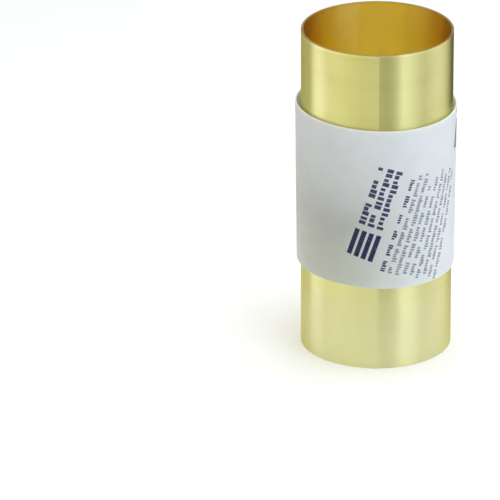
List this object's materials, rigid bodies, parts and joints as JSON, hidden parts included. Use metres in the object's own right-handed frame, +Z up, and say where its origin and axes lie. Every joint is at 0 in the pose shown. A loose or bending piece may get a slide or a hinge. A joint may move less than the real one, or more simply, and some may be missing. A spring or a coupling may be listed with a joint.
{
  "type": "shim stock roll",
  "caption": "Thin brass strip wound into an open tube-shaped roll that stands on its end, held by a loose white paper wrapper round its middle; raw stock for cutting shims.",
  "frame": {"origin": "on the axis of the bore, at the level of the floor that the roll stands on", "axes": "+Z up along the axis of the roll, -Y towards the viewer of the picture, +X to the viewer's right"},
  "size_m": [0.0732, 0.0738, 0.1525],
  "materials": {
    "brass": "bright rolled brass with fine lengthwise rolling lines",
    "paper": "smooth white wrapper paper with dark blue printed rules"
  },
  "bodies": {
    "root": {"brass_roll": "brass", "paper_wrapper": "paper"}
  },
  "joints": []
}
